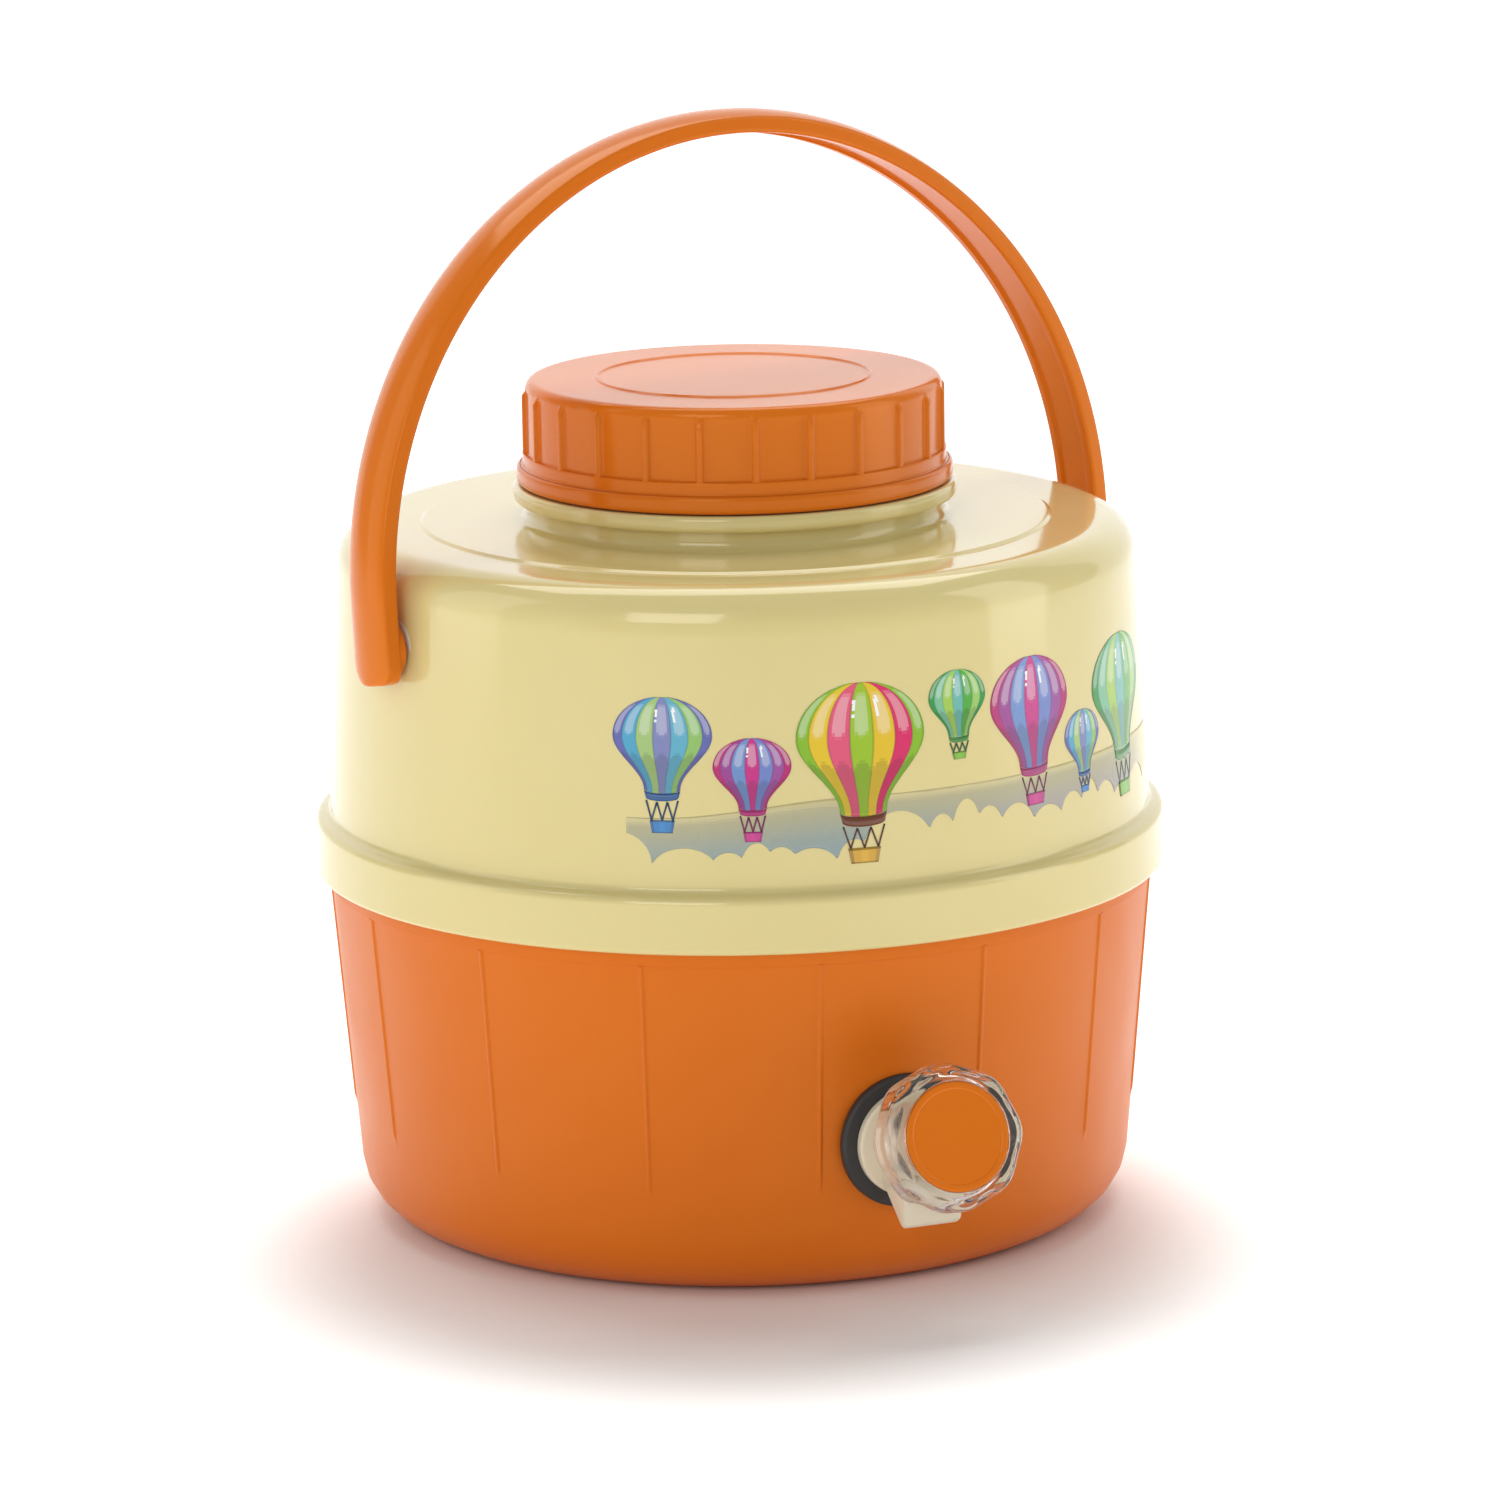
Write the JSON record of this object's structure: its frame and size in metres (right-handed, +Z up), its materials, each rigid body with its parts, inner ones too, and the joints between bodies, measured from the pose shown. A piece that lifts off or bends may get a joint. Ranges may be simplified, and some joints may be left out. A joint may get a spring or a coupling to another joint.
{
  "type": "beverage dispenser",
  "caption": "Insulated round drink jug with a foam-filled double wall, screw lid, swinging bail handle and a quarter-turn tap low on its side.",
  "frame": {"origin": "centre of the foot ring, on the floor", "axes": "+Z up through the lid; the bail's pivots lie on the X axis; the tap is on the -Y side, turned 11.6 degrees towards -X"},
  "size_m": [0.222, 0.2417, 0.2756],
  "materials": {
    "cream_shell": "gloss",
    "orange_base": "satin",
    "orange_gloss": "gloss",
    "white_liner": "satin",
    "foam": "matte",
    "silicone": "satin",
    "black_rubber": "matte",
    "cream_tap": "satin",
    "clear_knob": "gloss",
    "steel": "satin"
  },
  "bodies": {
    "jug": {"lower_shell": "orange_base", "upper_shell": "cream_shell", "inner_vessel": "white_liner", "insulation_foam": "foam", "neck_collar": "cream_shell", "neck_seal": "silicone", "foam_plug": "orange_base", "pivot_bush_left": "white_liner", "pivot_bush_right": "white_liner", "pivot_cup_left": "white_liner", "pivot_cup_right": "white_liner", "tap_body": "cream_tap", "tap_washer_outer": "black_rubber", "tap_sleeve": "white_liner", "tap_washer_inner": "black_rubber", "tap_locknut": "cream_tap"},
    "bail": {"bail_handle": "orange_gloss", "push_nut_left": "steel", "push_nut_right": "steel"},
    "lid_seal": {"lid_gasket": "silicone"},
    "lid": {"lid_cap": "orange_gloss", "lid_liner": "white_liner", "lid_foam": "foam"},
    "valve": {"valve_plug": "cream_tap", "plug_o_ring_front": "black_rubber", "plug_o_ring_rear": "black_rubber", "tap_knob": "clear_knob", "knob_insert": "orange_gloss", "knob_screw": "steel"}
  },
  "joints": [
    {"name": "handle_swing", "type": "hinge", "parent": "jug", "child": "bail", "pos_m": [0, 0, 0.154], "axis": [1, 0, 0], "range_deg": [-106, 116]},
    {"name": "lid_lift", "type": "slide", "parent": "jug", "child": "lid_seal", "axis": [0, 0, 1], "range_m": [0, 0.024]},
    {"name": "lid_unscrew", "type": "hinge", "parent": "lid_seal", "child": "lid", "pos_m": [0, 0, 0.2], "axis": [0, 0, 1], "range_deg": [0, 1440]},
    {"name": "tap_turn", "type": "hinge", "parent": "jug", "child": "valve", "pos_m": [-0.02099, -0.10227, 0.0388], "axis": [-0.192, -0.9353, 0.2974], "range_deg": [0, 90]}
  ],
  "couplings": [
    {"joint": "lid_lift", "follows": "lid_unscrew", "m_per_rad": 0.00095493}
  ]
}
